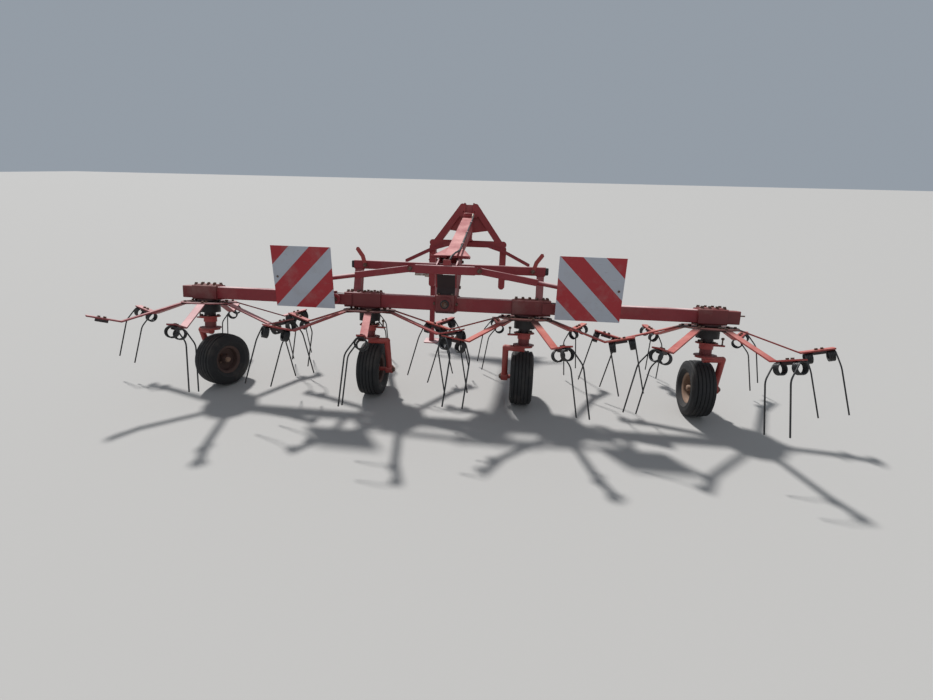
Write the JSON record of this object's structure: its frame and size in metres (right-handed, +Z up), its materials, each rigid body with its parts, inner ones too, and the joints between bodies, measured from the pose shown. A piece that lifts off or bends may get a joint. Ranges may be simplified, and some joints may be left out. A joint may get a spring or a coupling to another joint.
{
  "type": "hay tedder",
  "caption": "Mounted hay tedder with folding wings, arms with twin coil tines on turning rotors, small wheels, a swivelling three-point headstock and a parking stand.",
  "frame": {"origin": "on the ground, in the middle of the whole machine's length and width, in the working position", "axes": "+X across the machine to the right as seen from behind, +Y the way it travels, towards the headstock, +Z up"},
  "size_m": [5.3115, 2.4523, 1.3454],
  "materials": {
    "frame_red": "sun-faded red paint, chalky and worn",
    "arm_red": "faded orange-red paint, scuffed to bare steel",
    "gear_red": "dark red paint under grease and dust",
    "black_cover": "black plastic, dusty",
    "spring_black": "black coated spring wire, worn at the tips",
    "rotor_dark": "dark red disc under grease",
    "bright_steel": "bare steel, oiled",
    "panel_stripes": "red and pale stripes on sheet, scratched",
    "tyre_rubber": "dusty dark rubber",
    "rim_brown": "rusty brown rim",
    "hose_rubber": "black hose"
  },
  "bodies": {
    "frame": {"centre_beam": "frame_red", "centre_gearbox": "gear_red", "pto_stub": "bright_steel", "inner_gearboxes": "gear_red", "coupling_covers": "black_cover", "upright_plates": "frame_red", "guide_tube": "frame_red", "cross_tube": "frame_red", "lock_hooks": "arm_red", "boom": "frame_red", "pressure_hose": "hose_rubber"},
    "headstock": {"headstock_frame": "frame_red", "arch_bar": "frame_red", "lower_link_pins": "bright_steel", "stand_sleeve": "frame_red"},
    "stand": {"stand_leg": "frame_red"},
    "wing_left": {"wing_beam_left": "frame_red", "outer_gearbox_left": "gear_red", "panel_bracket_left": "frame_red", "panel_left": "panel_stripes"},
    "link_sleeve_left": {"fold_sleeve_left": "frame_red"},
    "link_rod_left": {"fold_rod_left": "bright_steel"},
    "wing_right": {"wing_beam_right": "frame_red", "outer_gearbox_right": "gear_red", "panel_bracket_right": "frame_red", "panel_right": "panel_stripes"},
    "link_sleeve_right": {"fold_sleeve_right": "frame_red"},
    "link_rod_right": {"fold_rod_right": "bright_steel"},
    "spinner_left_outer": {"rotor_left_outer": "arm_red", "tines_left_outer": "spring_black"},
    "wheel_fork_left_outer": {"fork_left_outer": "frame_red"},
    "wheel_left_outer": {"tyre_left_outer": "tyre_rubber", "rim_left_outer": "rim_brown"},
    "spinner_left_inner": {"rotor_left_inner": "arm_red", "tines_left_inner": "spring_black"},
    "wheel_fork_left_inner": {"fork_left_inner": "frame_red"},
    "wheel_left_inner": {"tyre_left_inner": "tyre_rubber", "rim_left_inner": "rim_brown"},
    "spinner_right_inner": {"rotor_right_inner": "arm_red", "tines_right_inner": "spring_black"},
    "wheel_fork_right_inner": {"fork_right_inner": "frame_red"},
    "wheel_right_inner": {"tyre_right_inner": "tyre_rubber", "rim_right_inner": "rim_brown"},
    "spinner_right_outer": {"rotor_right_outer": "arm_red", "tines_right_outer": "spring_black"},
    "wheel_fork_right_outer": {"fork_right_outer": "frame_red"},
    "wheel_right_outer": {"tyre_right_outer": "tyre_rubber", "rim_right_outer": "rim_brown"}
  },
  "joints": [
    {"name": "headstock_swivel", "type": "hinge", "parent": "frame", "child": "headstock", "pos_m": [0.02082, 1.02326, 1.12621], "axis": [0, 0.1908, 0.9816], "range_deg": [-20, 20]},
    {"name": "stand_slide", "type": "slide", "parent": "headstock", "child": "stand", "axis": [0, 0.1908, 0.9816], "range_m": [0, 0.35]},
    {"name": "wing_fold_left", "type": "hinge", "parent": "frame", "child": "wing_left", "pos_m": [-0.77918, -0.27886, 0.74262], "axis": [0, 0.9816, -0.1908], "range_deg": [-4, 90]},
    {"name": "wing_fold_right", "type": "hinge", "parent": "frame", "child": "wing_right", "pos_m": [0.82082, -0.27886, 0.74262], "axis": [0, -0.9816, 0.1908], "range_deg": [-4, 90]},
    {"name": "fold_sleeve_swing_left", "type": "hinge", "parent": "frame", "child": "link_sleeve_left", "pos_m": [-0.21918, -0.343, 0.99958], "axis": [0, 0.9816, -0.1908], "range_deg": [-15.46, 1.64]},
    {"name": "fold_rod_slide_left", "type": "slide", "parent": "link_sleeve_left", "child": "link_rod_left", "axis": [-0.988, -0.0295, -0.1517], "range_m": [-0.1774, 0.0117]},
    {"name": "fold_sleeve_swing_right", "type": "hinge", "parent": "frame", "child": "link_sleeve_right", "pos_m": [0.26082, -0.343, 0.99958], "axis": [0, -0.9816, 0.1908], "range_deg": [-15.46, 1.64]},
    {"name": "fold_rod_slide_right", "type": "slide", "parent": "link_sleeve_right", "child": "link_rod_right", "axis": [0.988, -0.0295, -0.1517], "range_m": [-0.1774, 0.0117]},
    {"name": "rotor_turn_left_outer", "type": "hinge", "parent": "wing_left", "child": "spinner_left_outer", "pos_m": [-1.79918, -0.29317, 0.669], "axis": [0, 0.1908, 0.9816], "continuous": true},
    {"name": "rotor_turn_left_inner", "type": "hinge", "parent": "frame", "child": "spinner_left_inner", "pos_m": [-0.54618, -0.29317, 0.669], "axis": [0, 0.1908, 0.9816], "continuous": true},
    {"name": "rotor_turn_right_inner", "type": "hinge", "parent": "frame", "child": "spinner_right_inner", "pos_m": [0.58782, -0.29317, 0.669], "axis": [0, 0.1908, 0.9816], "continuous": true},
    {"name": "rotor_turn_right_outer", "type": "hinge", "parent": "wing_right", "child": "spinner_right_outer", "pos_m": [1.84082, -0.29317, 0.669], "axis": [0, 0.1908, 0.9816], "continuous": true},
    {"name": "wheel_steer_left_outer", "type": "hinge", "parent": "wing_left", "child": "wheel_fork_left_outer", "pos_m": [-1.79918, -0.33133, 0.47268], "axis": [0, 0.1908, 0.9816], "range_deg": [-3, 37]},
    {"name": "wheel_steer_left_inner", "type": "hinge", "parent": "frame", "child": "wheel_fork_left_inner", "pos_m": [-0.54618, -0.33133, 0.47268], "axis": [0, 0.1908, 0.9816], "range_deg": [-20, 20]},
    {"name": "wheel_steer_right_inner", "type": "hinge", "parent": "frame", "child": "wheel_fork_right_inner", "pos_m": [0.58782, -0.33133, 0.47268], "axis": [0, 0.1908, 0.9816], "range_deg": [-20, 20]},
    {"name": "wheel_steer_right_outer", "type": "hinge", "parent": "wing_right", "child": "wheel_fork_right_outer", "pos_m": [1.84082, -0.33133, 0.47268], "axis": [0, 0.1908, 0.9816], "range_deg": [-20, 20]},
    {"name": "wheel_turn_left_outer", "type": "hinge", "parent": "wheel_fork_left_outer", "child": "wheel_left_outer", "pos_m": [-1.77031, -0.2874, 0.20382], "axis": [-0.9563, 0.287, -0.0558], "continuous": true},
    {"name": "wheel_turn_left_inner", "type": "hinge", "parent": "wheel_fork_left_inner", "child": "wheel_left_inner", "pos_m": [-0.54618, -0.28317, 0.203], "axis": [-1, 0, 0], "continuous": true},
    {"name": "wheel_turn_right_inner", "type": "hinge", "parent": "wheel_fork_right_inner", "child": "wheel_right_inner", "pos_m": [0.58782, -0.28317, 0.203], "axis": [-1, 0, 0], "continuous": true},
    {"name": "wheel_turn_right_outer", "type": "hinge", "parent": "wheel_fork_right_outer", "child": "wheel_right_outer", "pos_m": [1.84082, -0.28317, 0.203], "axis": [-1, 0, 0], "continuous": true}
  ],
  "couplings": [
    {"joint": "fold_sleeve_swing_left", "follows": "wing_fold_left", "ratio": -0.16062},
    {"joint": "fold_rod_slide_left", "follows": "wing_fold_left", "m_per_rad": -0.11036},
    {"joint": "fold_sleeve_swing_right", "follows": "wing_fold_right", "ratio": -0.16062},
    {"joint": "fold_rod_slide_right", "follows": "wing_fold_right", "m_per_rad": -0.11036},
    {"joint": "rotor_turn_left_outer", "follows": "rotor_turn_left_inner", "ratio": -1},
    {"joint": "rotor_turn_right_inner", "follows": "rotor_turn_left_inner", "ratio": -1},
    {"joint": "rotor_turn_right_outer", "follows": "rotor_turn_left_inner", "ratio": 1}
  ]
}
